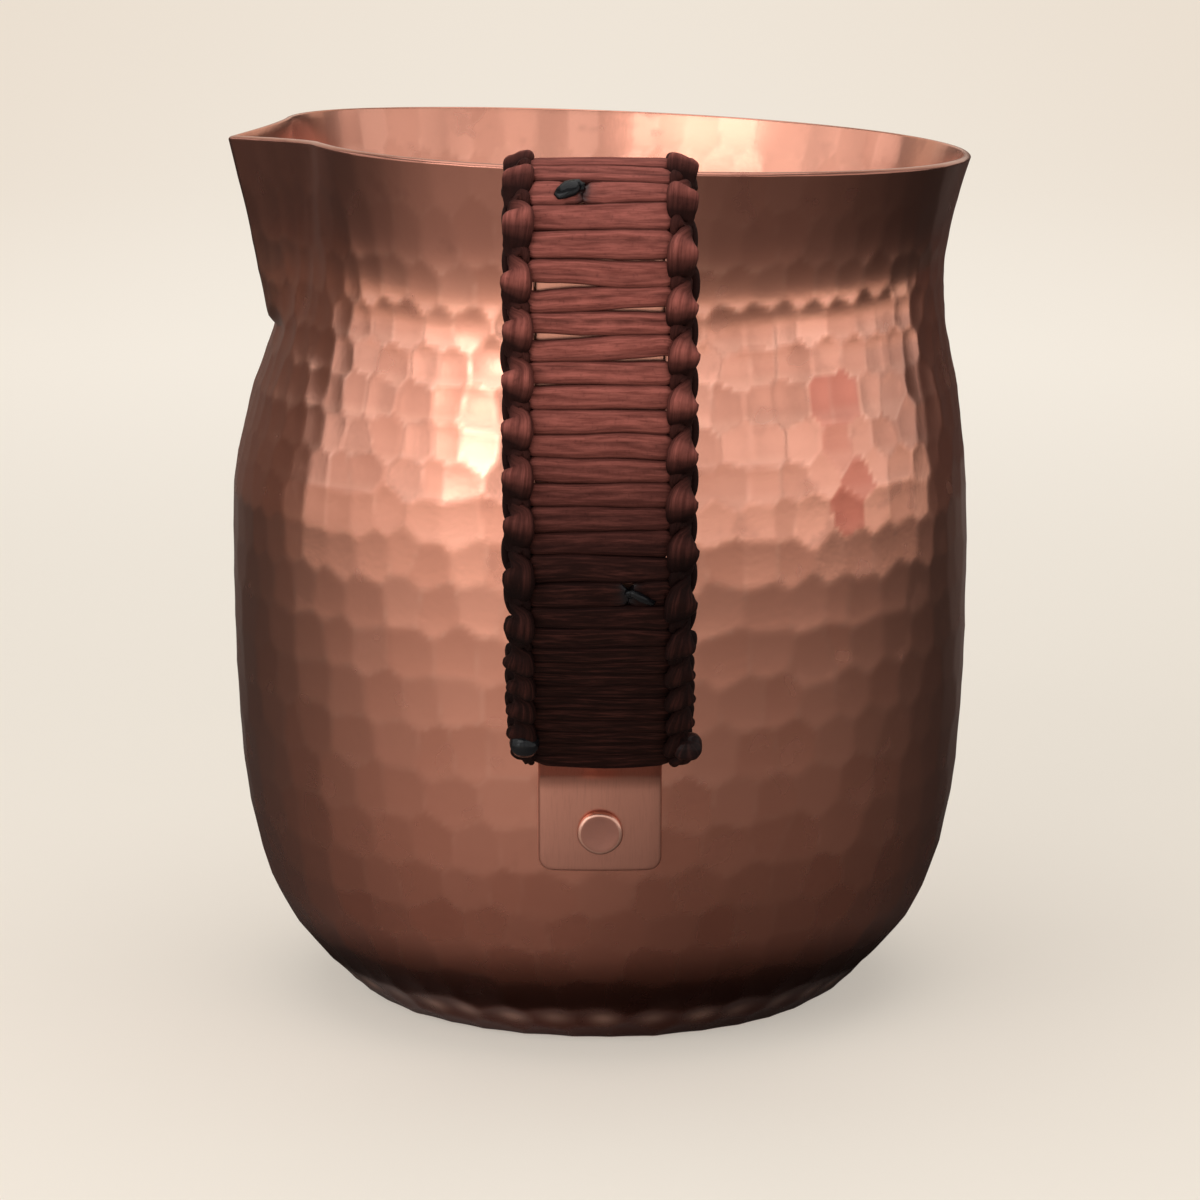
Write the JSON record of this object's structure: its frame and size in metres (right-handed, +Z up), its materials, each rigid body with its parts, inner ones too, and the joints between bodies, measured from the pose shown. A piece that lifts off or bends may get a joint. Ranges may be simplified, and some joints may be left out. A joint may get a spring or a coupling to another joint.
{
  "type": "copper jug",
  "caption": "Round-bellied hand-hammered copper jug with a pinched pouring spout, a flared rim and a riveted strap handle laced with cord.",
  "frame": {"origin": "centre of the flat base, on the surface that the jug stands on", "axes": "+Z up along the jug's axis, handle toward -Y, pouring spout toward -X"},
  "size_m": [0.128, 0.1718, 0.1542],
  "materials": {
    "hammered_copper": "hand-hammered copper, softly polished, with some patina",
    "strap_copper": "brushed flat copper strip",
    "rivet_copper": "hammered copper rivet head",
    "lacing_cord": "dull waxed brown cord, laid flat"
  },
  "bodies": {
    "root": {"body": "hammered_copper", "handle_strap": "strap_copper", "lower_rivet": "rivet_copper", "upper_rivet": "rivet_copper", "front_cord_upper": "lacing_cord", "front_cord_middle": "lacing_cord", "front_cord_lower": "lacing_cord", "back_cord": "lacing_cord"}
  },
  "joints": []
}
